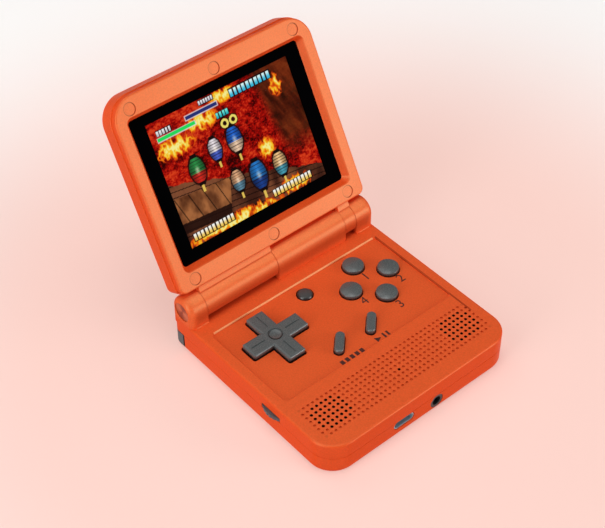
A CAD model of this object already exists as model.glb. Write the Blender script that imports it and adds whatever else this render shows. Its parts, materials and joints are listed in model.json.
"""Clamshell handheld game console: finishes, printed marks, lit screen, light and camera.

Every length is in metres. Lengths that read better in millimetres are written as
a number times MM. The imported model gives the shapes; this script dresses them.
"""
import json
import logging
import math
from dataclasses import dataclass, field
from enum import Enum
from functools import reduce
from typing import Sequence

import bmesh
import bpy
import numpy as np
from mathutils import Matrix, Vector


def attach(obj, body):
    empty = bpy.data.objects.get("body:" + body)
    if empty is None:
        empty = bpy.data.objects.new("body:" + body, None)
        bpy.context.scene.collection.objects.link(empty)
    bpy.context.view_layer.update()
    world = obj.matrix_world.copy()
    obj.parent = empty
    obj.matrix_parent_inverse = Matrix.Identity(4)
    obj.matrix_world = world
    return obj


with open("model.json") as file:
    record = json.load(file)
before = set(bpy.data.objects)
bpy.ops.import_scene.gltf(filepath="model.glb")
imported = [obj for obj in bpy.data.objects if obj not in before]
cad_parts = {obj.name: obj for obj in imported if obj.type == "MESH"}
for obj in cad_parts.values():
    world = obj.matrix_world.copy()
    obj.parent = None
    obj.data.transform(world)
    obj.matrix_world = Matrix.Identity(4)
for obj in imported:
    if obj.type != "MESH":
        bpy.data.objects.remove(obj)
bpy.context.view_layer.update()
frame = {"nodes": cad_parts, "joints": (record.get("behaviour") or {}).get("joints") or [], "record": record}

MM = 0.001
Colour = tuple[float, float, float]
Node = bpy.types.Node
Socket = bpy.types.NodeSocket
Place = Sequence[Socket]
Mesh = bpy.types.Mesh
Coats = list[tuple[Socket, Colour]]
log = logging.getLogger("console")


def to_linear(shown: np.ndarray) -> np.ndarray:
    """Values as a screen shows them, from 0 to 255, turned into linear light from 0 to 1."""
    c = np.clip(shown, 0, 255) / 255.0
    return np.where(c <= 0.04045, c / 12.92, ((c + 0.055) / 1.055) ** 2.4)


def linear(colour: Colour) -> Colour:
    """A display colour, from 0 to 255, as a linear one from 0 to 1."""
    return tuple(float(x) for x in to_linear(np.asarray(colour, float)))


class Mark(Enum):
    """The printed marks beside the keys."""

    TOP = "1"
    RIGHT = "2"
    BOTTOM = "3"
    LEFT = "4"


# ---------------------------------------------------------------- lid's own axes


@dataclass(frozen=True)
class LidPlane:
    """The lid's own directions at rest, worked out from the hinge and the record.

    Attributes:
        axis_point: a point on the hinge axis, in the middle of the console.
        angle: how far the lid is turned up from lying flat behind, in radians.
    """

    axis_point: Vector
    angle: float

    @property
    def up(self) -> Vector:
        """Direction from the hinge to the lid's free edge."""
        return Vector((0.0, math.cos(self.angle), math.sin(self.angle)))

    @property
    def out(self) -> Vector:
        """Direction out of the lid's face, towards the player."""
        return Vector((0.0, -math.sin(self.angle), math.cos(self.angle)))

    def place(self, points: np.ndarray) -> np.ndarray:
        """Carries points from lid axes into the frame.

        Args:
            points: rows of (across, up, out), in metres from the hinge axis.

        Returns:
            Rows of (x, y, z) in the frame.
        """
        basis = np.array([(1.0, 0.0, 0.0), tuple(self.up), tuple(self.out)])
        return np.asarray(points, float) @ basis + np.array(self.axis_point)


def joint(name: str) -> dict:
    """The record's joint of that name."""
    return next(j for j in frame["joints"] if j["name"] == name)


def lid_plane() -> LidPlane:
    """The lid's directions, from its joint: at its lower limit the lid is closed.

    Returns:
        The lid's directions at rest.
    """
    hinge = joint("lid_hinge")
    opened = -hinge["range_deg"][0]
    return LidPlane(Vector(hinge["pos_m"]), math.radians(180.0 - opened))


LID = lid_plane()


# ---------------------------------------------------------------- shader helpers


class Nodes:
    """Short calls for building a node tree."""

    def __init__(self, tree: bpy.types.NodeTree) -> None:
        """Keeps the tree that the calls add to."""
        self.tree = tree

    def add(self, kind: str, **values: object) -> Node:
        """Adds a node and sets its properties and inputs.

        Args:
            kind: Blender's node type name.
            **values: a property's value, or what feeds an input, under its name with
                underscores for spaces.

        Returns:
            The new node.
        """
        node = self.tree.nodes.new(kind)
        for name, value in values.items():
            if hasattr(node, name):
                setattr(node, name, value)
            else:
                self.feed(node.inputs[name.replace("_", " ")], value)
        return node

    def feed(self, socket: Socket, value: object) -> None:
        """Feeds a socket with an output or a value; a linear colour gets its alpha.

        Args:
            socket: the input.
            value: an output, a number, a vector or a linear colour.
        """
        if isinstance(value, Socket):
            self.link(value, socket)
        else:
            socket.default_value = (*value, 1.0) if socket.type == "RGBA" else value

    def link(self, source: Socket, target: Socket) -> None:
        """Joins an output to an input."""
        self.tree.links.new(source, target)

    def math(self, operation: str, a: object, b: object = 0.0, c: object = 0.0) -> Socket:
        """Adds a Math node.

        Args:
            operation: Blender's name of the operation.
            a: first value, a number or an output.
            b: second value.
            c: third value.

        Returns:
            The node's output.
        """
        node = self.add("ShaderNodeMath", operation=operation)
        for socket, value in zip(node.inputs, (a, b, c)):
            self.feed(socket, value)
        return node.outputs[0]

    def vector(self, operation: str, *values: object) -> Node:
        """Adds a Vector Math node, fed with outputs or vectors."""
        node = self.add("ShaderNodeVectorMath", operation=operation)
        for socket, value in zip(node.inputs, values):
            self.feed(socket, value)
        return node

    def mix(self, share: object, a: object, b: object, blend: str = "MIX") -> Socket:
        """Mixes two colours.

        Args:
            share: how much of the second colour, a number or an output.
            a: first colour, a colour or an output.
            b: second colour.
            blend: Blender's name of the blend.

        Returns:
            The mixed colour's output.
        """
        node = self.add("ShaderNodeMix", data_type="RGBA", blend_type=blend)
        for place, value in zip((0, 6, 7), (share, a, b)):
            self.feed(node.inputs[place], value)
        return node.outputs[2]

    def product(self, *values: object) -> Socket:
        """Multiplies numbers or outputs, one after another."""
        return reduce(lambda a, b: self.math("MULTIPLY", a, b), values)

    def length(self, a: Socket, b: Socket) -> Socket:
        """The length of a flat vector: the root of the sum of two squares."""
        return self.math("SQRT", self.math("ADD", self.product(a, a), self.product(b, b)))

    def near(self, value: Socket, middle: float, reach: float) -> Socket:
        """1 where a value lies within reach of a middle, else 0."""
        return self.math("LESS_THAN", self.math("ABSOLUTE", self.math("SUBTRACT", value, middle)), reach)

    def eased(self, value: Socket, start: float, end: float,
              low: float = 0.0, high: float = 1.0) -> Socket:
        """A share that eases from low at one value to high at another, by 3f^2 - 2f^3 of the way f.

        Args:
            value: the output that drives it.
            start: where the easing starts.
            end: where it ends.
            low: the share at the start.
            high: the share at the end.

        Returns:
            The share's output.
        """
        ease = self.add("ShaderNodeMapRange", interpolation_type="SMOOTHSTEP", Value=value,
                        From_Min=start, From_Max=end, To_Min=low, To_Max=high)
        return ease.outputs["Result"]

    def xyz(self) -> Place:
        """The place on the object, as one output each for x, y and z."""
        where = self.add("ShaderNodeTexCoord").outputs["Object"]
        return self.add("ShaderNodeSeparateXYZ", Vector=where).outputs[:3]


def new_group(name: str, inputs: dict[str, float],
              outputs: dict[str, str]) -> tuple[bpy.types.NodeTree, Nodes]:
    """Starts a shader node group.

    Args:
        name: the group's name.
        inputs: each input's name with its default number.
        outputs: each output's name with its socket type.

    Returns:
        The group and a helper that adds nodes to it.
    """
    group = bpy.data.node_groups.new(name, "ShaderNodeTree")
    for key, value in inputs.items():
        socket = group.interface.new_socket(key, in_out="INPUT", socket_type="NodeSocketFloat")
        socket.default_value = value
    for key, kind in outputs.items():
        group.interface.new_socket(key, in_out="OUTPUT", socket_type=kind)
    return group, Nodes(group)


def grain_group() -> bpy.types.NodeTree:
    """Moulded grain: fine noise for a bump, slow noise for tone and roughness.

    Returns:
        A group that puts out Height from 0 to 1, Tone round 1 and Rough round 0.
    """
    inputs = {"Scale": 2600.0, "Speckle": 0.1, "Drift": 0.04}
    outputs = {"Height": "NodeSocketFloat", "Tone": "NodeSocketFloat", "Rough": "NodeSocketFloat"}
    group, n = new_group("moulded_grain", inputs, outputs)
    gin = n.add("NodeGroupInput")
    gout = n.add("NodeGroupOutput")
    where = n.add("ShaderNodeTexCoord").outputs["Object"]
    fine = n.add("ShaderNodeTexNoise", Vector=where, Scale=gin.outputs["Scale"], Detail=3.0, Roughness=0.6)
    slow = n.add("ShaderNodeTexNoise", Vector=where, Scale=45.0, Detail=2.0)
    fine_mid = n.math("SUBTRACT", fine.outputs["Fac"], 0.5)
    slow_mid = n.math("SUBTRACT", slow.outputs["Fac"], 0.5)
    speckle = n.math("MULTIPLY", fine_mid, gin.outputs["Speckle"])
    drift = n.math("MULTIPLY", slow_mid, gin.outputs["Drift"])
    tone = n.math("ADD", n.math("ADD", speckle, drift), 1.0)
    n.link(fine.outputs["Fac"], gout.inputs["Height"])
    n.link(tone, gout.inputs["Tone"])
    n.link(n.math("ADD", fine_mid, slow_mid), gout.inputs["Rough"])
    return group


def lid_group() -> bpy.types.NodeTree:
    """Lid coordinates: the object's place, measured along the lid's own directions.

    Each output is the dot product of (place - hinge point) with one direction.

    Returns:
        A group that puts out Across, Up and Out, in metres.
    """
    outputs = {key: "NodeSocketFloat" for key in ("Across", "Up", "Out")}
    group, n = new_group("lid_place", {}, outputs)
    gout = n.add("NodeGroupOutput")
    where = n.add("ShaderNodeTexCoord").outputs["Object"]
    moved = n.vector("SUBTRACT", where, LID.axis_point).outputs[0]
    for key, direction in zip(outputs, (Vector((1.0, 0.0, 0.0)), LID.up, LID.out)):
        n.link(n.vector("DOT_PRODUCT", moved, direction).outputs["Value"], gout.inputs[key])
    return group


GROUPS: dict[str, bpy.types.NodeTree] = {}


def place_group(n: Nodes, name: str, **values: float) -> Node:
    """Places a shared group in a material with its own values.

    Args:
        n: the material's node helper.
        name: "moulded_grain" or "lid_place".
        **values: the group's inputs by name.

    Returns:
        The group node.
    """
    if name not in GROUPS:
        GROUPS[name] = {"moulded_grain": grain_group, "lid_place": lid_group}[name]()
    node = n.add("ShaderNodeGroup", node_tree=GROUPS[name])
    for key, value in values.items():
        node.inputs[key].default_value = value
    return node


# ---------------------------------------------------------------- finishes


@dataclass(frozen=True)
class Finish:
    """A moulded plastic, which the other finishes build on.

    Attributes:
        name: the material's name.
        colour: its colour as a screen shows it, from 0 to 255.
        roughness: 0 is a mirror and 1 is chalk.
        specular: the shader's specular level.
        grain: how many grains to a metre.
        speckle: how much the grain changes the tone.
        bump: the grain's depth, in metres.
        metallic: 1 for bare metal.
        coat: weight of a clear coat.
        sheen: the colour of what shines on it, as a screen shows it.
    """

    name: str
    colour: Colour
    roughness: float = 0.5
    specular: float = 0.5
    grain: float = 2600.0
    speckle: float = 0.1
    bump: float = 0.00003
    metallic: float = 0.0
    coat: float = 0.0
    sheen: Colour = (255, 255, 255)

    def material(self) -> bpy.types.Material:
        """Makes the material.

        Returns:
            A node material with the grain's tone, roughness and bump.
        """
        mat = bpy.data.materials.new(self.name)
        mat.use_nodes = True
        tree = mat.node_tree
        shader = next(node for node in tree.nodes if node.type == "BSDF_PRINCIPLED")
        n = Nodes(tree)
        grain = place_group(n, "moulded_grain", Scale=self.grain, Speckle=self.speckle)
        rough = n.math("MULTIPLY_ADD", grain.outputs["Rough"], 0.12, self.roughness)
        looks = {"Specular IOR Level": self.specular, "Metallic": self.metallic, "Coat Weight": self.coat,
                 "Coat Roughness": 0.25, "Specular Tint": linear(self.sheen),
                 "Base Color": self.tone(n, grain), "Roughness": rough}
        for key, value in looks.items():
            n.feed(shader.inputs[key], value)
        if self.bump > 0.0:
            bump = n.add("ShaderNodeBump", Strength=1.0, Distance=self.bump, Height=self.height(n, grain))
            n.link(bump.outputs["Normal"], shader.inputs["Normal"])
        self.extras(n, shader)
        return mat

    def tone(self, n: Nodes, grain: Node) -> Socket:
        """The base colour, times the grain's tone."""
        return self.shaded(n, grain, linear(self.colour))

    def shaded(self, n: Nodes, grain: Node, colour: object) -> Socket:
        """Multiplies a colour by the grain's tone.

        Args:
            n: the material's node helper.
            grain: the grain's group node.
            colour: a linear colour or an output.

        Returns:
            The colour's output.
        """
        tone = grain.outputs["Tone"]
        grey = n.add("ShaderNodeCombineColor", Red=tone, Green=tone, Blue=tone)
        return n.mix(1.0, colour, grey.outputs[0], "MULTIPLY")

    def height(self, n: Nodes, grain: Node) -> Socket:
        """The height that the bump follows."""
        return grain.outputs["Height"]

    def extras(self, n: Nodes, shader: Node) -> None:
        """What a finish adds to its shader; a plain plastic adds nothing."""


@dataclass(frozen=True)
class ShellFinish(Finish):
    """The shells' plastic: richer on the walls than on the faces, with dark holes and shaded seats.

    Attributes:
        slant_specular: the specular level where it is seen at a slant.
        rich: the richer colour.
        deck_share: how much of it the deck has.
        face_share: how much of it the lid's face has.
        wall_share: how much of it the walls and the lid's back have.
        half_width: half the base's width, in metres.
        half_length: half its length.
        front_r: radius of its front corners, seen from above.
        rear_r: radius of its rear corners.
        deck_edge: radius of the deck's edge.
        deck_z: height of the deck.
        panel_z: height of the sunk panel.
        panel_y: the panel's rear edge.
        panel_half: half the panel's width.
        field_y: the speaker field's middle.
        half_w: half the field's width.
        half_l: half its length, front to back.
        pitch: the dots' pitch.
        dot_r: a dot's radius.
        speaker_x: how far a speaker's middle is from the console's.
        dimple_share: how much of the brown a dimple takes.
        brown: the colour that shades a dimple.
        dark: the colour down a through hole.
        dot_soft: width of a dot's soft edge.
        patch: half a speaker's holes across, half of them along, and both together, in pitches.
        ring: the rings round the screw covers: half their width, their share and their colour.
        rear_line: the line along the panel's rear edge, in the same way.
        right_line: the line along its right edge.
        barrel_share: how much of their two shades the barrels take.
        barrel_dark: the colour of the shade under them.
        barrel_pale: the colour of the line on them.
        cover_across: how far an outer screw cover's middle is from the lid's.
        cover_low: the lower covers' height up the lid from the hinge.
        cover_high: the upper covers' height.
        cover_r: radius of a screw cover.
        cover_out: the frame's face, out of the lid from the hinge axis.
        hinge_y: the hinge axis' place, front to back.
        hinge_z: its height.
        barrel_r: radius of the barrels and knuckles round it.
        barrel_end: how far the outer knuckles reach to either side.
    """

    slant_specular: float = 0.05
    rich: Colour = (236, 77, 26)
    deck_share: float = 0.515
    face_share: float = 0.21
    wall_share: float = 0.85
    half_width: float = 42.2 * MM
    half_length: float = 41.5 * MM
    front_r: float = 9.5 * MM
    rear_r: float = 3.0 * MM
    deck_edge: float = 0.8 * MM
    deck_z: float = 13.5 * MM
    panel_z: float = 12.7 * MM
    panel_y: float = 24.7 * MM
    panel_half: float = 38.0 * MM
    field_y: float = -27.7 * MM
    half_w: float = 38.4 * MM
    half_l: float = 7.6 * MM
    pitch: float = 1.97 * MM
    dot_r: float = 0.48 * MM
    speaker_x: float = 29.55 * MM
    dimple_share: float = 0.3
    brown: Colour = (168, 60, 30)
    dark: Colour = (22, 9, 6)
    dot_soft: float = 0.14 * MM
    patch: tuple[float, float, float] = (3.5, 3.0, 5.0)
    ring: tuple[float, float, Colour] = (0.16 * MM, 0.55, (150, 40, 14))
    rear_line: tuple[float, float, Colour] = (0.35 * MM, 0.75, (255, 176, 120))
    right_line: tuple[float, float, Colour] = (0.35 * MM, 0.7, (140, 30, 10))
    barrel_share: float = 0.5
    barrel_dark: Colour = (150, 34, 10)
    barrel_pale: Colour = (255, 150, 92)
    cover_across: float = 34.8 * MM
    cover_low: float = 9.94 * MM
    cover_high: float = 72.6 * MM
    cover_r: float = 2.2 * MM
    cover_out: float = 4.76 * MM
    hinge_y: float = 35.8 * MM
    hinge_z: float = 18.7 * MM
    barrel_r: float = 5.6 * MM
    barrel_end: float = 41.5 * MM

    def fold(self, n: Nodes, value: Socket, start: float) -> Socket:
        """Distance from a value to the nearest dot's line, where one lies at start."""
        share = n.math("DIVIDE", n.math("SUBTRACT", value, start), self.pitch)
        return n.product(n.math("SUBTRACT", share, n.math("ROUND", share)), self.pitch)

    def outside(self, n: Nodes, place: Place) -> Socket:
        """How far a place lies outside the base's outline; within it the distance is below 0.

        Formula: of a rounded rectangle, the length of what passes the straight sides'
        ends, plus the larger of the two distances where both are below 0, less the
        corners' radius.

        Args:
            n: the material's node helper.
            place: the object's x, y and z.

        Returns:
            The distance's output.
        """
        in_front = n.math("LESS_THAN", place[1], 0.0)
        corner = n.math("MULTIPLY_ADD", in_front, self.front_r - self.rear_r, self.rear_r)
        past = [n.math("ADD", n.math("SUBTRACT", n.math("ABSOLUTE", value), half), corner)
                for value, half in zip(place, (self.half_width, self.half_length))]
        round_part = n.length(*(n.math("MAXIMUM", value, 0.0) for value in past))
        straight = n.math("MINIMUM", n.math("MAXIMUM", *past), 0.0)
        return n.math("SUBTRACT", n.math("ADD", round_part, straight), corner)

    def skin(self, n: Nodes, place: Place) -> Socket:
        """The shell's own colour, with more of the richer one on the walls than on the faces.

        Formula: the share of the richer colour eases from the deck's to the lid face's
        just above the deck. On the base the walls begin where the deck's edge rounds
        over, and on the lid they begin just behind its face.

        Args:
            n: the material's node helper.
            place: the object's x, y and z.

        Returns:
            The colour's output.
        """
        _, up, out = place_group(n, "lid_place").outputs
        z = place[2]
        share = n.eased(z, self.deck_z + 0.2 * MM, self.deck_z + 2.5 * MM, self.deck_share, self.face_share)
        rounded = n.eased(self.outside(n, place), -self.deck_edge, -0.3 * self.deck_edge)
        below = n.math("LESS_THAN", z, self.panel_z - 0.2 * MM)
        base = n.product(n.math("MAXIMUM", rounded, below), n.math("LESS_THAN", z, self.deck_z + 0.1 * MM))
        front = n.eased(out, self.cover_out - 0.35 * MM, self.cover_out - 0.5 * MM)
        wall = n.math("MAXIMUM", base, n.product(front, n.math("GREATER_THAN", up, 6.0 * MM)))
        gain = n.product(wall, n.math("SUBTRACT", self.wall_share, share))
        return n.mix(n.math("ADD", share, gain), linear(self.colour), linear(self.rich))

    def holes(self, n: Nodes, place: Place) -> Coats:
        """Shades the dots of the speaker field: brown dimples, and black holes at the speakers.

        Formula: a dot's mask falls with the distance to the nearest crossing of the
        pitch's lines. It is black inside an eight-sided patch over each speaker, where
        the distances across and along each hold, and so does their sum, and at the
        one hole near the middle.

        Args:
            n: the material's node helper.
            place: the object's x, y and z.

        Returns:
            Each shade's share and its colour.
        """
        x, y, z = place
        reach = n.length(self.fold(n, x, 0.0), self.fold(n, y, self.field_y + 0.5 * self.pitch))
        dot = n.eased(reach, self.dot_r + self.dot_soft, self.dot_r)
        in_field = n.product(n.near(x, 0.0, self.half_w), n.near(y, self.field_y, self.half_l))
        dots = n.product(in_field, n.near(z, self.deck_z - 0.9 * MM, 0.95 * MM), dot)
        off = n.math("ABSOLUTE", n.math("SUBTRACT", n.math("ABSOLUTE", x), self.speaker_x))
        rise = n.math("ABSOLUTE", n.math("SUBTRACT", y, self.field_y))
        patch = n.product(*(n.math("LESS_THAN", value, pitches * self.pitch)
                            for value, pitches in zip((off, rise, n.math("ADD", off, rise)), self.patch)))
        half = 0.5 * self.pitch
        lone = n.product(n.near(x, 0.0, half), n.near(y, self.field_y - half, half))
        through = n.product(dots, n.math("MAXIMUM", patch, lone))
        return [(n.product(dots, self.dimple_share), self.brown), (through, self.dark)]

    def rings(self, n: Nodes) -> Coats:
        """A shaded ring where each screw cover sits in the lid's frame.

        Formula: the place across is folded about the middle and then about half the
        covers' distance, and the place up about the middle of the two rows, so that one
        ring's distance serves all six.

        Args:
            n: the material's node helper.

        Returns:
            The ring's share and its colour.
        """
        lid = place_group(n, "lid_place")
        fold = n.math("ABSOLUTE", lid.outputs["Across"])
        across = n.math("MINIMUM", fold, n.math("ABSOLUTE", n.math("SUBTRACT", fold, self.cover_across)))
        row = n.math("SUBTRACT", lid.outputs["Up"], 0.5 * (self.cover_low + self.cover_high))
        up = n.math("SUBTRACT", n.math("ABSOLUTE", row), 0.5 * (self.cover_high - self.cover_low))
        half, share, colour = self.ring
        ring = n.near(n.length(across, up), self.cover_r, half)
        face = n.near(lid.outputs["Out"], self.cover_out, 0.5 * MM)
        return [(n.product(ring, face, share), colour)]

    def edge(self, n: Nodes, place: Place) -> Coats:
        """A pale line along the bevel at the panel's rear edge, and a dark one at its right.

        Args:
            n: the material's node helper.
            place: the object's x, y and z.

        Returns:
            Each shade's share and its colour.
        """
        x, y, z = place
        bevel = n.near(z, 0.5 * (self.deck_z + self.panel_z) + 0.1 * MM, 0.38 * MM)
        lines = ((self.rear_line, (x, 0.0, self.panel_half - 1.0 * MM), (y, self.panel_y + 0.1 * MM)),
                 (self.right_line, (y, 0.0, self.panel_y), (x, self.panel_half + 0.1 * MM)))
        return [(n.product(n.near(*along), n.near(*across, half), bevel, share), colour)
                for (half, share, colour), along, across in lines]

    def barrels(self, n: Nodes, place: Place) -> Coats:
        """Darkens the lower front of the barrels and knuckles, and brightens a line near their top.

        Formula: the height over the hinge axis, as a share of the barrels' radius, drives
        both, in front of the axis. The dark part eases out beyond that radius and at the
        outer knuckles' ends, and the line stays within it.

        Args:
            n: the material's node helper.
            place: the object's x, y and z.

        Returns:
            Each shade's share and its colour.
        """
        dy = n.math("SUBTRACT", place[1], self.hinge_y)
        dz = n.math("SUBTRACT", place[2], self.hinge_z)
        reach = n.length(dy, dz)
        inner = n.eased(n.math("ABSOLUTE", place[0]), self.barrel_end, self.barrel_end - 3.0 * MM)
        front = n.product(n.math("LESS_THAN", dy, 0.0), inner)
        share = n.math("DIVIDE", dz, self.barrel_r)
        near = n.eased(reach, 1.35 * self.barrel_r, 1.02 * self.barrel_r)
        shade = n.product(front, near, n.eased(share, 0.62, -0.1), self.barrel_share)
        on_barrel = n.math("LESS_THAN", reach, 1.02 * self.barrel_r)
        line = n.product(front, on_barrel, n.eased(share, 0.66, 0.86), self.barrel_share)
        return [(shade, self.barrel_dark), (line, self.barrel_pale)]

    def tone(self, n: Nodes, grain: Node) -> Socket:
        """The shell's colour, with its holes, rings, barrels and panel edges.

        Args:
            n: the material's node helper.
            grain: the grain's group node.

        Returns:
            The colour's output.
        """
        place = n.xyz()
        skin = self.skin(n, place)
        coats = self.holes(n, place) + self.rings(n) + self.barrels(n, place) + self.edge(n, place)
        for share, colour in coats:
            skin = n.mix(share, skin, linear(colour))
        return self.shaded(n, grain, skin)

    def extras(self, n: Nodes, shader: Node) -> None:
        """The gloss is weaker at a slant, as on a matt moulding.

        Args:
            n: the material's node helper.
            shader: the material's shader.
        """
        facing = n.add("ShaderNodeLayerWeight", Blend=0.5).outputs["Facing"]
        level = n.add("ShaderNodeMapRange", Value=facing, From_Min=0.1, From_Max=0.5,
                      To_Min=self.specular, To_Max=self.slant_specular)
        n.link(level.outputs["Result"], shader.inputs["Specular IOR Level"])


@dataclass(frozen=True)
class KeyFinish(Finish):
    """The keys' plastic, whose sides are dark down by the panel.

    Attributes:
        low: height at which a key's side is all dark, in metres.
        high: height from which it has its own colour.
        dark: the colour of the side's foot.
        pad: the pad's middle, across and along.
        bowl_r: radius of the bowl in the pad's middle, whose rim is shaded.
        rim_half: half the rim's width.
        rim_share: how much of the dark colour the rim takes.
    """

    low: float = 12.7 * MM
    high: float = 14.5 * MM
    dark: Colour = (20, 17, 17)
    pad: tuple[float, float] = (-21.9 * MM, 9.8 * MM)
    bowl_r: float = 2.3 * MM
    rim_half: float = 0.17 * MM
    rim_share: float = 0.8

    def tone(self, n: Nodes, grain: Node) -> Socket:
        """The key's colour, mixed from the dark one with height.

        Args:
            n: the material's node helper.
            grain: the grain's group node.

        Returns:
            The colour's output.
        """
        x, y, z = n.xyz()
        side = n.mix(n.eased(z, self.low, self.high), linear(self.dark), linear(self.colour))
        reach = n.length(n.math("SUBTRACT", x, self.pad[0]), n.math("SUBTRACT", y, self.pad[1]))
        rim = n.near(reach, self.bowl_r, self.rim_half)
        return self.shaded(n, grain, n.mix(n.product(rim, self.rim_share), side, linear(self.dark)))


@dataclass(frozen=True)
class TurnedFinish(Finish):
    """A disc turned on a lathe, as the hinge's end caps are.

    Attributes:
        axis_y: the turning axis' y, in metres.
        axis_z: its z.
        pitch: distance between the tool's rings.
        bright: the colour of the light sectors.
    """

    axis_y: float = 0.0
    axis_z: float = 0.0
    pitch: float = 0.00022
    bright: Colour = (214, 104, 64)

    def parts(self, n: Nodes) -> tuple[Socket, Socket]:
        """Radius from the axis, and the angle round it, as outputs.

        Args:
            n: the material's node helper.

        Returns:
            The two outputs.
        """
        _, y, z = n.xyz()
        dy, dz = n.math("SUBTRACT", y, self.axis_y), n.math("SUBTRACT", z, self.axis_z)
        return n.length(dy, dz), n.math("ARCTAN2", dz, dy)

    def tone(self, n: Nodes, grain: Node) -> Socket:
        """Light and dark sectors: the sine of twice the angle, raised a little.

        Args:
            n: the material's node helper.
            grain: the grain's group node.

        Returns:
            The colour's output.
        """
        _, angle = self.parts(n)
        wave = n.math("SINE", n.math("MULTIPLY_ADD", angle, 2.0, 0.9))
        share = n.math("MULTIPLY_ADD", wave, 0.5, 0.5)
        colour = n.mix(share, linear(self.colour), linear(self.bright))
        return self.shaded(n, grain, colour)

    def height(self, n: Nodes, grain: Node) -> Socket:
        """Rings: a sine of the radius over the pitch.

        Args:
            n: the material's node helper.
            grain: the grain's group node.

        Returns:
            The height's output.
        """
        radius, _ = self.parts(n)
        ring = n.math("SINE", n.math("MULTIPLY", radius, math.tau / self.pitch))
        return n.math("MULTIPLY_ADD", ring, 0.5, 0.5)


@dataclass(frozen=True)
class LensFinish(Finish):
    """The black lens with its clear window.

    Attributes:
        half_w: half the window's width, in metres.
        low: the window's lower edge, up the lid from the hinge.
        high: its upper edge.
        clear: how much of the lens is left inside the window.
    """

    half_w: float = 0.0
    low: float = 0.0
    high: float = 0.0
    clear: float = 0.06

    def extras(self, n: Nodes, shader: Node) -> None:
        """Alpha falls to nearly nothing inside the window's rectangle.

        Args:
            n: the material's node helper.
            shader: the material's shader.
        """
        lid = place_group(n, "lid_place")
        rise = n.near(lid.outputs["Up"], 0.5 * (self.low + self.high), 0.5 * (self.high - self.low))
        inside = n.product(n.near(lid.outputs["Across"], 0.0, self.half_w), rise)
        alpha = n.math("MULTIPLY_ADD", inside, self.clear - 1.0, 1.0)
        n.link(alpha, shader.inputs["Alpha"])


@dataclass(frozen=True)
class PictureFinish(Finish):
    """The lit display: it glows with the colours that its mesh carries.

    Attributes:
        attribute: the mesh's colour attribute.
        glow: strength of the light.
    """

    attribute: str = "picture"
    glow: float = 1.0

    def tone(self, n: Nodes, grain: Node) -> Socket:
        """An unlit display is nearly black."""
        return self.shaded(n, grain, linear(self.colour))

    def extras(self, n: Nodes, shader: Node) -> None:
        """The colours go to Emission Color.

        Args:
            n: the material's node helper.
            shader: the material's shader.
        """
        lit = n.add("ShaderNodeVertexColor", layer_name=self.attribute)
        n.link(lit.outputs["Color"], shader.inputs["Emission Color"])
        shader.inputs["Emission Strength"].default_value = self.glow


SHELL = ShellFinish("orange_shell", (241, 107, 56), roughness=0.38, specular=0.62, grain=1900.0,
                    speckle=0.42, bump=0.00004, sheen=(255, 240, 170))
KEYS = KeyFinish("grey_keys", (90, 96, 96), roughness=0.28, specular=0.7, grain=3400.0, bump=0.000015)
SHOULDERS = Finish("grey_shoulders", (78, 86, 90), roughness=0.45, specular=0.45, grain=3000.0, bump=0.00002)
STEEL = Finish("bright_steel", (196, 196, 200), roughness=0.28, grain=5200.0, bump=0.000006, metallic=1.0)
SOCKET = Finish("drawn_steel", (172, 192, 202), roughness=0.4, grain=4200.0, speckle=0.12,
                bump=0.000008, metallic=0.5)
BOARD = Finish("solder_mask", (28, 92, 58), roughness=0.34, grain=1200.0, speckle=0.24, bump=0.00001,
               coat=0.2)
JACK = Finish("jack_black", (40, 42, 44), roughness=0.3, grain=3800.0, speckle=0.08, bump=0.00001)
WRAP = Finish("battery_film", (52, 56, 66), roughness=0.4, grain=900.0, speckle=0.2, bump=0.00004)
GOLD = Finish("gold_contacts", (214, 178, 104), roughness=0.3, grain=3600.0, bump=0.000006, metallic=1.0)
BLACK = Finish("black_plastic", (30, 30, 32), roughness=0.5, speckle=0.14)
CONE = Finish("speaker_black", (26, 26, 28), roughness=0.7, grain=1800.0, speckle=0.3, bump=0.00005)
SILICONE = Finish("milky_silicone", (196, 196, 190), roughness=0.55, speckle=0.08, grain=1500.0)
INK = Finish("printed_ink", (80, 40, 32), roughness=0.6, specular=0.3, grain=5200.0, speckle=0.24, bump=0.0)


# ---------------------------------------------------------------- meshes


def sheet_mesh(name: str, points: np.ndarray, flip: bool = False) -> Mesh:
    """Puts a grid of points into a mesh, one quad between each four neighbours.

    Args:
        name: the mesh's name.
        points: rows by columns by (x, y, z), in metres.
        flip: turns the faces the other way round.

    Returns:
        The mesh, shaded smooth.
    """
    rows, cols = points.shape[:2]
    at = np.arange(rows * cols).reshape(rows, cols)
    corners = [at[:-1, :-1], at[:-1, 1:], at[1:, 1:], at[1:, :-1]]
    quads = np.stack(corners[::-1] if flip else corners, axis=-1).reshape(-1, 4)
    mesh = bpy.data.meshes.new(name)
    mesh.vertices.add(rows * cols)
    mesh.vertices.foreach_set("co", points.astype(np.float32).ravel())
    mesh.loops.add(quads.size)
    mesh.loops.foreach_set("vertex_index", quads.astype(np.int32).ravel())
    mesh.polygons.add(len(quads))
    mesh.polygons.foreach_set("loop_start", np.arange(0, quads.size, 4, dtype=np.int32))
    mesh.update(calc_edges=True)
    mesh.polygons.foreach_set("use_smooth", np.ones(len(quads), bool))
    return mesh


def border_ring(rows: int, cols: int) -> np.ndarray:
    """Vertex numbers round a grid's border, in order."""
    at = np.arange(rows * cols).reshape(rows, cols)
    return np.concatenate([at[0, :-1], at[:-1, -1], at[-1, :0:-1], at[:0:-1, 0]])


def close_back(mesh: Mesh, ring: np.ndarray) -> None:
    """Closes a mesh with one face on a ring of its vertices, facing away from the grid.

    Args:
        mesh: the grid's mesh.
        ring: vertex numbers round its border.
    """
    shape = bmesh.new()
    shape.from_mesh(mesh)
    shape.verts.ensure_lookup_table()
    shape.faces.new([shape.verts[int(k)] for k in ring[::-1]])
    shape.to_mesh(mesh)
    shape.free()


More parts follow.
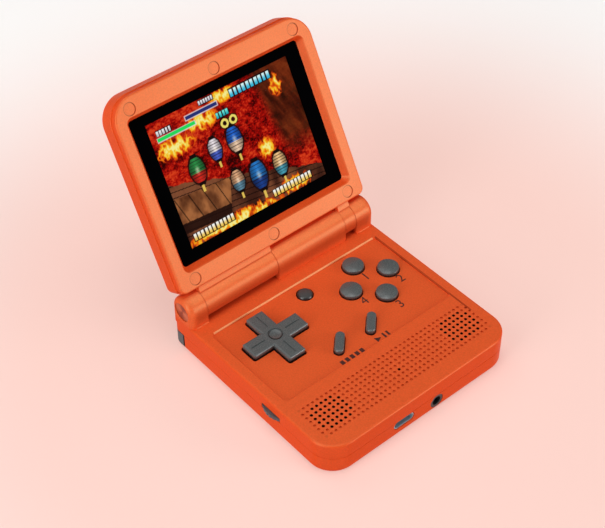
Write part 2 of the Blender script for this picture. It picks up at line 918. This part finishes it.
def add_piece(name: str, mesh: Mesh, body: str, finish: bpy.types.Material) -> bpy.types.Object:
    """Adds a mesh as a piece that rides on a body.

    Args:
        name: the piece's name.
        mesh: its mesh, already in place.
        body: the body it rides on.
        finish: its material.

    Returns:
        The piece.
    """
    piece = bpy.data.objects.new(name, mesh)
    bpy.context.scene.collection.objects.link(piece)
    mesh.materials.clear()
    mesh.materials.append(finish)
    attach(piece, body)
    log.info("%s on %s: %d faces", name, body, len(mesh.polygons))
    return piece


def body_of(node: str) -> str:
    """The body that a CAD node rides on."""
    bodies = frame["record"]["behaviour"]["bodies"]
    return next(body for body, nodes in bodies.items() if node in nodes)


def lattice(s: np.ndarray, t: np.ndarray, cells: float, seed: int, stretch: float = 1.0) -> np.ndarray:
    """Smooth noise from a seeded lattice.

    Formula: a random number at each lattice point, blended by the smooth step
    3f^2 - 2f^3 of the fraction f across and up each cell.

    Args:
        s: place across, 0 to 1.
        t: place up, 0 to 1.
        cells: cells across the picture.
        seed: seed of the random numbers.
        stretch: how much longer than tall the cells are.

    Returns:
        Noise from 0 to 1, of the shape of s.
    """
    table = np.random.default_rng(seed).random((256, 256))
    x, y = s * cells, t * cells * stretch
    i, j = np.floor(x).astype(int), np.floor(y).astype(int)
    fx, fy = x - i, y - j
    fx, fy = fx * fx * (3 - 2 * fx), fy * fy * (3 - 2 * fy)
    low = table[i % 256, j % 256] * (1 - fx) + table[(i + 1) % 256, j % 256] * fx
    high = table[i % 256, (j + 1) % 256] * (1 - fx) + table[(i + 1) % 256, (j + 1) % 256] * fx
    return low * (1 - fy) + high * fy


def clouds(s: np.ndarray, t: np.ndarray, cells: float, seed: int, stretch: float = 1.0) -> np.ndarray:
    """Sum of four octaves of lattice noise, each half as strong and twice as fine."""
    parts = [lattice(s, t, cells * 2**k, seed + k, stretch) * 0.5**k for k in range(4)]
    return sum(parts) / 1.875


def ramp(value: np.ndarray, stops: Sequence[tuple[float, Colour]]) -> np.ndarray:
    """Colours along a ramp, interpolated between its stops, as rows of RGB.

    Args:
        value: where on the ramp each point is.
        stops: places on the ramp with their colours.

    Returns:
        Rows of RGB.
    """
    places = [place for place, _ in stops]
    colours = np.array([colour for _, colour in stops], float)
    return np.stack([np.interp(value, places, colours[:, k]) for k in range(3)], axis=-1)


class Painting:
    """A picture of a burning evening over a jetty, painted on a grid.

    Attributes:
        s: place across, 0 to 1.
        t: place up, 0 to 1.
        colours: rows by columns by RGB, as a screen shows them.
    """

    def __init__(self, columns: int, rows: int) -> None:
        """Paints the slopes and the jetty.

        Formula: a ramp of reds over fractal noise for the burning slopes, darker to the
        right.

        Args:
            columns: points across.
            rows: points up.
        """
        self.s, self.t = s, t = np.meshgrid(np.linspace(0, 1, columns), np.linspace(0, 1, rows))
        rock = 0.38 * self.noise(9, 11) + 0.28 * self.noise(34, 31) + 0.34 * self.noise(110, 41)
        reds = [(0.36, (48, 2, 2)), (0.45, (124, 6, 4)), (0.54, (176, 16, 8)), (0.66, (222, 66, 28))]
        self.colours = ramp(rock, reds)
        gloom = np.clip((s - 0.70 - 0.12 * (1.0 - t)) * 16.0, 0, 1) * np.clip((t - 0.24) * 5.0, 0, 1)
        cloth = ramp(clouds(s + 0.3 * t, 0.25 * t, 26, 51), [(0.3, (48, 20, 8)), (0.7, (104, 46, 18))])
        self.lay(cloth, gloom, 0.85)
        self.jetty()

    def noise(self, cells: float, seed: int, stretch: float = 1.0) -> np.ndarray:
        """Fractal noise over the grid."""
        return clouds(self.s, self.t, cells, seed, stretch)

    def lay(self, colour: object, where: np.ndarray, share: float = 1.0) -> None:
        """Lays a colour, or an array of colours, over the picture where a mask holds."""
        part = (where * share)[..., None]
        self.colours = self.colours * (1 - part) + np.asarray(colour, float) * part

    def inside(self, left: float, right: float, low: float, high: float) -> np.ndarray:
        """Where the grid lies inside a rectangle."""
        return (self.s > left) & (self.s < right) & (self.t > low) & (self.t < high)

    def jetty(self) -> None:
        """Adds planks, from a sawtooth below a slanting edge, and the shed roof in front of them."""
        s, t = self.s, self.t
        wood = ramp(self.noise(12, 71, 0.4), [(0.3, (58, 32, 22)), (0.7, (128, 80, 52))])
        wood *= np.where((np.modf((t + 0.16 * s) * 22)[0] < 0.16)[..., None], 0.35, 1.0)
        self.lay(wood, t < 0.50 - 0.42 * s + 0.04 * self.noise(18, 91), 0.95)
        roof = ramp(self.noise(16, 73, 0.5), [(0.3, (92, 50, 28)), (0.7, (170, 106, 62))])
        roof *= np.where((np.modf((s + 0.22 * t) * 11)[0] < 0.08)[..., None], 0.45, 1.0)
        left = s < 0.30 + 0.25 * t
        self.lay(roof, (t > 0.20 - 0.10 * s) & (t < 0.40 - 0.12 * s) & left)
        self.lay((34, 16, 12), (t > 0.12 - 0.10 * s) & (t <= 0.20 - 0.10 * s) & left, 0.85)

    def fire(self, x: float, y: float, wide: float, tall: float) -> None:
        """Adds one fire: a bell of heat times ridges of tall noise, from red to pale yellow.

        Args:
            x: its middle across.
            y: its middle up.
            wide: its width.
            tall: its height.
        """
        bell = np.exp(-((self.s - x) / wide) ** 2 - ((self.t - y) / tall) ** 2)
        ridge = 1.0 - np.abs(2.0 * clouds(self.s, 0.5 * self.t, 30, 131) - 1.0)
        heat = bell * (0.34 + 0.80 * ridge**3)
        flame = [(0.30, (190, 40, 12)), (0.46, (240, 104, 16)),
                 (0.62, (255, 196, 30)), (0.92, (255, 246, 150))]
        self.lay(ramp(heat, flame), np.clip((heat - 0.26) * 7.0, 0, 1))

    def lantern(self, x: float, y: float, size: float, upper: Colour, lower: Colour) -> None:
        """Adds one tall paper lantern: two colours, ribs, caps, a tassel, a lit middle and a dark rim.

        Args:
            x: its middle across.
            y: its middle up.
            size: its half width.
            upper: its upper colour.
            lower: its lower colour.
        """
        across, rise = (self.s - x) / size, (self.t - y) / (size * 2.1)
        far = np.hypot(across, rise) + 0.10 * self.noise(40, 171)
        self.lay((26, 10, 10), np.clip((1.22 - far) * 9, 0, 1), 0.85)
        skin = np.where((rise > -0.15)[..., None], np.array(upper, float), np.array(lower, float))
        self.lay(skin * (1.12 - 0.55 * np.abs(across))[..., None], far < 1.0)
        self.lay((30, 16, 18), (np.modf(np.abs(rise) * 4.5 + 0.1)[0] < 0.24) & (far < 1.0), 0.55)
        self.lay((24, 12, 12), (np.abs(across) < 0.42) & (np.abs(np.abs(rise) - 1.0) < 0.14))
        self.lay((232, 196, 90), (np.abs(across) < 0.16) & (rise < -1.1) & (rise > -1.6))
        self.lay((255, 240, 214), np.clip(1.0 - far * 2.4, 0, 1), 0.75)

    def gauges(self) -> None:
        """Adds two plain gauges at the upper left and two rings below the upper edge."""
        bars = [(0.045, 0.300, 0.842, 0.868, (38, 226, 96)), (0.250, 0.470, 0.900, 0.926, (40, 50, 120))]
        for left, right, low, high, colour in bars:
            rim = self.inside(left - 0.005, right + 0.005, low - 0.007, high + 0.007)
            self.lay((226, 226, 232), rim, 0.85)
            self.lay(colour, self.inside(left, right, low, high))
        for x in (0.475, 0.535):
            far = np.hypot((self.s - x) * 4 / 3, self.t - 0.745)
            self.lay((20, 10, 10), far < 0.044, 0.7)
            self.lay((244, 226, 110), (far < 0.036) & (far > 0.018))

    def peg_row(self, left: float, low: float, count: int, size: float, upper: Colour, lower: Colour) -> None:
        """Adds a row of plain pegs with a gap after each, shaded from one colour to another.

        Args:
            left: the row's left end.
            low: the row's foot.
            count: how many pegs.
            size: a peg's size.
            upper: the pegs' upper colour.
            lower: their lower colour.
        """
        place = (self.s - left) / (0.78 * size)
        rise = (self.t - low) / (1.5 * size)
        self.lay((16, 10, 14), (place > -0.2) & (place < count) & (rise > -0.14) & (rise < 1.14), 0.75)
        peg = (place > 0) & (place < count - 0.3) & (rise > 0) & (rise < 1)
        peg &= np.modf(np.abs(place))[0] < 0.66
        self.lay(ramp(rise, [(0.2, lower), (0.8, upper)]), peg)


@dataclass
class Display:
    """The lit picture: a generic burning evening over a jetty, with lanterns and plain gauges.

    Attributes:
        width: the lit area's width.
        height: its height.
        middle: its middle, up the lid from the hinge.
        top: its face, out of the lid from the hinge axis.
        thick: the picture sheet's thickness.
        columns: points across.
        rows: points up.
        fires: each fire's place across and up, its width and its height.
        lanterns: each lantern's place, its size and its two colours.
        pegs: each row of pegs: left, low, count, peg size, upper colour, lower colour.
    """

    width: float = 60.96 * MM
    height: float = 45.72 * MM
    middle: float = 41.64 * MM
    top: float = 1.32 * MM
    thick: float = 0.03 * MM
    columns: int = 353
    rows: int = 265
    fires: list[tuple[float, float, float, float]] = field(default_factory=lambda: [
        (0.13, 0.76, 0.15, 0.09), (0.34, 0.84, 0.12, 0.08), (0.52, 0.95, 0.10, 0.06),
        (0.87, 0.84, 0.05, 0.09), (0.68, 0.42, 0.06, 0.09), (0.34, 0.02, 0.40, 0.07),
        (0.78, 0.05, 0.12, 0.08),
    ])
    lanterns: list[tuple[float, float, float, Colour, Colour]] = field(default_factory=lambda: [
        (0.21, 0.52, 0.052, (44, 132, 66), (196, 40, 30)),
        (0.36, 0.60, 0.044, (228, 220, 224), (70, 92, 190)),
        (0.50, 0.60, 0.052, (36, 96, 196), (224, 190, 160)),
        (0.43, 0.30, 0.044, (212, 160, 120), (90, 130, 150)),
        (0.57, 0.26, 0.058, (40, 116, 190), (28, 60, 130)),
        (0.73, 0.26, 0.048, (236, 190, 130), (70, 150, 170)),
    ])
    pegs: list[tuple[float, float, int, float, Colour, Colour]] = field(default_factory=lambda: [
        (0.04, 0.040, 11, 0.034, (255, 255, 250), (250, 206, 90)),
        (0.62, 0.040, 11, 0.034, (255, 255, 250), (250, 206, 90)),
        (0.57, 0.905, 10, 0.038, (226, 255, 255), (60, 190, 226)),
        (0.44, 0.800, 4, 0.028, (120, 240, 226), (40, 180, 190)),
        (0.05, 0.885, 5, 0.026, (250, 250, 250), (200, 200, 204)),
        (0.36, 0.955, 6, 0.022, (250, 250, 250), (196, 196, 210)),
    ])

    def paint(self) -> np.ndarray:
        """Works out the picture's colours on its grid, as rows by columns by linear RGB."""
        picture = Painting(self.columns, self.rows)
        for draw, rows in ((picture.fire, self.fires), (picture.lantern, self.lanterns)):
            for row in rows:
                draw(*row)
        picture.gauges()
        for row in self.pegs:
            picture.peg_row(*row)
        return to_linear(picture.colours)

    def build(self) -> bpy.types.Object:
        """Builds the sheet on the lid and dresses it.

        Formula: a flat grid in lid axes, whose outermost ring is folded back by the
        thickness, closed behind by one face.

        Returns:
            The picture's piece.
        """
        across = np.linspace(-0.5, 0.5, self.columns) * self.width
        up = np.linspace(-0.5, 0.5, self.rows) * self.height + self.middle
        x, v = np.meshgrid(np.pad(across, 1, mode="edge"), np.pad(up, 1, mode="edge"))
        depth = np.full_like(x, self.top)
        depth[0, :] = depth[-1, :] = depth[:, 0] = depth[:, -1] = self.top - self.thick
        points = LID.place(np.stack([x, v, depth], axis=-1).reshape(-1, 3)).reshape(*x.shape, 3)
        mesh = sheet_mesh("display_picture", points)
        ring = border_ring(*x.shape)
        close_back(mesh, ring)
        colours = np.pad(self.paint(), ((1, 1), (1, 1), (0, 0)), mode="edge")
        rgba = np.concatenate([colours, np.ones((*x.shape, 1))], axis=-1)
        layer = mesh.color_attributes.new("picture", "FLOAT_COLOR", "POINT")
        layer.data.foreach_set("color", rgba.astype(np.float32).ravel())
        finish = PictureFinish("lit_picture", (3, 3, 3), roughness=0.5, specular=0.0, bump=0.0, glow=1.0)
        return add_piece("display_picture", mesh, body_of("display_panel"), finish.material())


@dataclass
class PrintedMarks:
    """The marks printed on the deck: numerals beside the keys and plain signs.

    Attributes:
        panel_z: the sunk panel's height.
        proud: how far the ink stands on it.
        height: the numerals' height.
        places: where each numeral's lower left corner is.
    """

    panel_z: float = 12.7 * MM
    proud: float = 0.02 * MM
    height: float = 3.7 * MM
    places: dict[Mark, tuple[float, float]] = field(default_factory=lambda: {
        Mark.RIGHT: (29.6 * MM, 1.6 * MM), Mark.BOTTOM: (20.7 * MM, -7.6 * MM),
        Mark.TOP: (20.7 * MM, 10.4 * MM), Mark.LEFT: (12.1 * MM, 1.6 * MM),
    })

    def numeral(self, mark: Mark) -> Mesh:
        """Turns one numeral into a thin mesh of the numerals' height, in its own place.

        Args:
            mark: which numeral.

        Returns:
            The numeral's mesh.
        """
        curve = bpy.data.curves.new("numeral", "FONT")
        curve.body = mark.value
        curve.size = self.height / 0.7
        curve.extrude = self.proud
        holder = bpy.data.objects.new("numeral", curve)
        bpy.context.scene.collection.objects.link(holder)
        solid = bpy.data.meshes.new_from_object(holder.evaluated_get(bpy.context.evaluated_depsgraph_get()))
        bpy.data.objects.remove(holder)
        bpy.data.curves.remove(curve)
        x, y = self.places[mark]
        solid.transform(Matrix.Translation((x, y, self.panel_z)))
        return solid

    def plate(self, outline: np.ndarray) -> Mesh:
        """Raises an outline by the ink's thickness.

        Args:
            outline: rows of (x, y), anticlockwise, in metres.

        Returns:
            A thin closed mesh.
        """
        count = len(outline)
        low = np.column_stack([outline, np.full(count, self.panel_z - self.proud)])
        high = np.column_stack([outline, np.full(count, self.panel_z + self.proud)])
        ring = np.arange(count)
        after = np.roll(ring, -1)
        sides = np.column_stack([ring, after, after + count, ring + count]).tolist()
        mesh = bpy.data.meshes.new("plate")
        faces = [ring[::-1].tolist(), (ring + count).tolist(), *sides]
        mesh.from_pydata(np.vstack([low, high]).tolist(), [], faces)
        return mesh

    def build(self) -> None:
        """Builds every mark on the base."""
        ink = INK.material()
        for mark in Mark:
            add_piece(f"numeral_{mark.name.lower()}", self.numeral(mark), "base", ink)
        for name, corners in self.signs().items():
            add_piece(name, self.plate(np.array(corners) * MM), "base", ink)

    @staticmethod
    def signs() -> dict[str, list[tuple[float, float]]]:
        """Outlines of the signs under the two slanted keys: five squares, and an arrow with two bars.

        Returns:
            Each sign's name and corners, in millimetres.
        """
        square = [(0.0, 0.0), (1.4, 0.0), (1.4, 1.8), (0.0, 1.8)]
        bar = [(0.0, 0.0), (0.8, 0.0), (0.8, 2.3), (0.0, 2.3)]
        arrow = [(0.0, 0.0), (2.3, 1.15), (0.0, 2.3)]
        low = -14.5
        places = {f"select_sign_{name}": (square, -12.6 + 2.2 * step) for step, name in enumerate("abcde")}
        places |= {"start_sign_a": (arrow, 3.7), "start_sign_b": (bar, 7.0), "start_sign_c": (bar, 8.7)}
        return {name: [(x + left, y + low) for x, y in shape] for name, (shape, left) in places.items()}


# ---------------------------------------------------------------- dressing the CAD nodes


class Console:
    """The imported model's own pieces, each in the finish of its record slot."""

    def __init__(self) -> None:
        """Makes one material for each slot of the record."""
        hinge = joint("lid_hinge")["pos_m"]
        display = Display()
        caps = TurnedFinish("turned_caps", (150, 52, 26), roughness=0.4, specular=0.25, speckle=0.08,
                            bump=0.00002, axis_y=hinge[1], axis_z=hinge[2])
        rise = display.height / 2 + 0.1 * MM
        lens = LensFinish("black_lens", (3, 3, 4), roughness=0.2, specular=0.0, speckle=0.02, bump=0.0,
                          half_w=display.width / 2 + 0.1 * MM, low=display.middle - rise,
                          high=display.middle + rise)
        unlit = PictureFinish("unlit_display", (14, 12, 12), roughness=0.4, bump=0.0, glow=0.0)
        finishes = {
            "shell": SHELL, "caps": caps, "keys": KEYS, "shoulders": SHOULDERS, "steel": STEEL,
            "socket_metal": SOCKET, "jack_plastic": JACK, "board": BOARD, "battery_wrap": WRAP,
            "contact_block": GOLD, "black_plastic": BLACK, "speaker_body": CONE, "silicone": SILICONE,
            "lens": lens, "display": unlit,
        }
        self.materials = {slot: finish.material() for slot, finish in finishes.items()}

    def dress(self) -> None:
        """Puts each node's material into its slots."""
        for part in frame["record"]["subparts"]:
            node = frame["nodes"][part["node"]]
            finish = self.materials[part["material_slot"]]
            if not node.material_slots:
                node.data.materials.append(finish)
            for place in node.material_slots:
                place.material = finish
            log.info("%s in %s", part["node"], finish.name)


# ---------------------------------------------------------------- floor, light and camera


@dataclass(frozen=True)
class Lamp:
    """A soft rectangular lamp aimed at the console.

    Attributes:
        name: the lamp's name.
        place: where it stands, in metres.
        size: its side.
        power: in watts.
        colour: its linear colour.
    """

    name: str
    place: tuple[float, float, float]
    size: float
    power: float
    colour: Colour = (1.0, 1.0, 1.0)

    def build(self) -> None:
        """Adds the lamp, turned towards the middle of the console."""
        light = bpy.data.lights.new(self.name, "AREA")
        light.shape = "SQUARE"
        light.size = self.size
        light.energy = self.power
        light.color = self.colour
        lamp = bpy.data.objects.new(self.name, light)
        lamp.location = self.place
        aim = Vector((0.0, 0.02, 0.03)) - lamp.location
        lamp.rotation_euler = aim.to_track_quat("-Z", "Y").to_euler()
        bpy.context.scene.collection.objects.link(lamp)


@dataclass(frozen=True)
class Studio:
    """Pale floor, soft light and the camera.

    Attributes:
        sky_light: the world's light on the console.
        floor_lift: the light that the floor gives by itself where it is seen.
        floor_share: how much of the light on it the floor gives back.
        floor_near: the floor's colour under the console, as a screen shows it.
        floor_far: its colour away from it.
        blush_ends: distances over which one turns into the other, in metres.
        lift_ends: distances over which the floor's own light rises to the full.
        lens: the camera's focal length for a 36 mm wide sensor, in millimetres.
        eye: where the camera stands.
        azimuth: how far it is turned about z, in degrees.
        dip: how far it looks down.
        roll: how far it is rolled about its own axis.
        lamps: the soft lamps.
    """

    sky_light: float = 0.16
    floor_lift: float = 0.52
    floor_share: float = 0.62
    floor_near: Colour = (252, 213, 203)
    floor_far: Colour = (255, 252, 250)
    blush_ends: tuple[float, float] = (0.10, 0.26)
    lift_ends: tuple[float, float] = (0.45, 1.2)
    lens: float = 84.81
    eye: tuple[float, float, float] = (-231.8 * MM, -251.1 * MM, 370.5 * MM)
    azimuth: float = -40.41
    dip: float = 43.93
    roll: float = -0.147
    lamps: tuple[Lamp, ...] = (
        Lamp("front_light", (0.57, -0.80, 0.17), 0.50, 6.2),
        Lamp("left_light", (-1.00, -0.10, 0.25), 0.50, 4.7),
        Lamp("upper_left_light", (-0.75, 0.00, 0.75), 0.50, 1.9),
        Lamp("back_light", (0.00, 0.65, 0.85), 0.50, 1.0),
        Lamp("top_light", (0.00, 0.00, 1.05), 0.50, 3.1),
    )

    def build_floor(self) -> None:
        """A pale floor that turns from blush under the console to white far away."""
        line = np.linspace(-4.0, 4.0, 9)
        across, along = np.meshgrid(line, line)
        mesh = sheet_mesh("floor", np.stack([across, along, np.full((9, 9), -0.05 * MM)], axis=-1))
        floor = bpy.data.objects.new("floor", mesh)
        bpy.context.scene.collection.objects.link(floor)
        mat = bpy.data.materials.new("pale_floor")
        mat.use_nodes = True
        n = Nodes(mat.node_tree)
        shader = next(node for node in mat.node_tree.nodes if node.type == "BSDF_PRINCIPLED")
        where = n.add("ShaderNodeTexCoord").outputs["Object"]
        away = n.vector("LENGTH", where).outputs["Value"]
        colour = n.mix(n.eased(away, *self.blush_ends), linear(self.floor_near), linear(self.floor_far))
        n.link(n.mix(1.0, colour, (self.floor_share,) * 3, "MULTIPLY"), shader.inputs["Base Color"])
        shader.inputs["Roughness"].default_value = 0.9
        shader.inputs["Specular IOR Level"].default_value = 0.1
        n.link(colour, shader.inputs["Emission Color"])
        rays = n.add("ShaderNodeLightPath")
        seen = n.math("MAXIMUM", rays.outputs["Is Camera Ray"], rays.outputs["Is Glossy Ray"])
        seen = n.math("MAXIMUM", seen, rays.outputs["Is Transmission Ray"])
        lift = n.eased(away, *self.lift_ends, self.floor_lift, 1.0)
        n.link(n.product(seen, lift), shader.inputs["Emission Strength"])
        mesh.materials.append(mat)

    def build_world(self) -> None:
        """An even pale world, white where it is seen straight on."""
        world = bpy.data.worlds.new("studio")
        world.use_nodes = True
        sky = next(node for node in world.node_tree.nodes if node.type == "BACKGROUND")
        sky.inputs["Color"].default_value = (1.0, 0.985, 0.97, 1.0)
        n = Nodes(world.node_tree)
        seen = n.add("ShaderNodeLightPath").outputs["Is Camera Ray"]
        n.link(n.math("MULTIPLY_ADD", seen, 1.0 - self.sky_light, self.sky_light), sky.inputs["Strength"])
        bpy.context.scene.world = world

    def build_camera(self) -> None:
        """The camera: turned about z, tipped down, rolled a little about its own axis."""
        data = bpy.data.cameras.new("camera")
        data.sensor_fit = "HORIZONTAL"
        data.sensor_width = 36.0
        data.lens = self.lens
        data.clip_start = 0.01
        data.clip_end = 20.0
        camera = bpy.data.objects.new("camera", data)
        turn = Matrix.Rotation(math.radians(self.azimuth), 4, "Z")
        tip = Matrix.Rotation(math.radians(90.0 - self.dip), 4, "X")
        roll = Matrix.Rotation(math.radians(self.roll), 4, "Z")
        camera.matrix_world = Matrix.Translation(self.eye) @ turn @ tip @ roll
        bpy.context.scene.collection.objects.link(camera)
        bpy.context.scene.camera = camera

    def build(self) -> None:
        """Builds the stage."""
        self.build_camera()
        self.build_world()
        self.build_floor()
        for lamp in self.lamps:
            lamp.build()


def main() -> None:
    """Builds the stage, dresses the console and adds its own pieces."""
    logging.basicConfig(level=logging.INFO, format="%(name)s: %(message)s")
    bpy.context.scene.view_settings.view_transform = "Standard"
    Studio().build()
    Console().dress()
    Display().build()
    PrintedMarks().build()


if __name__ == "__main__":
    main()
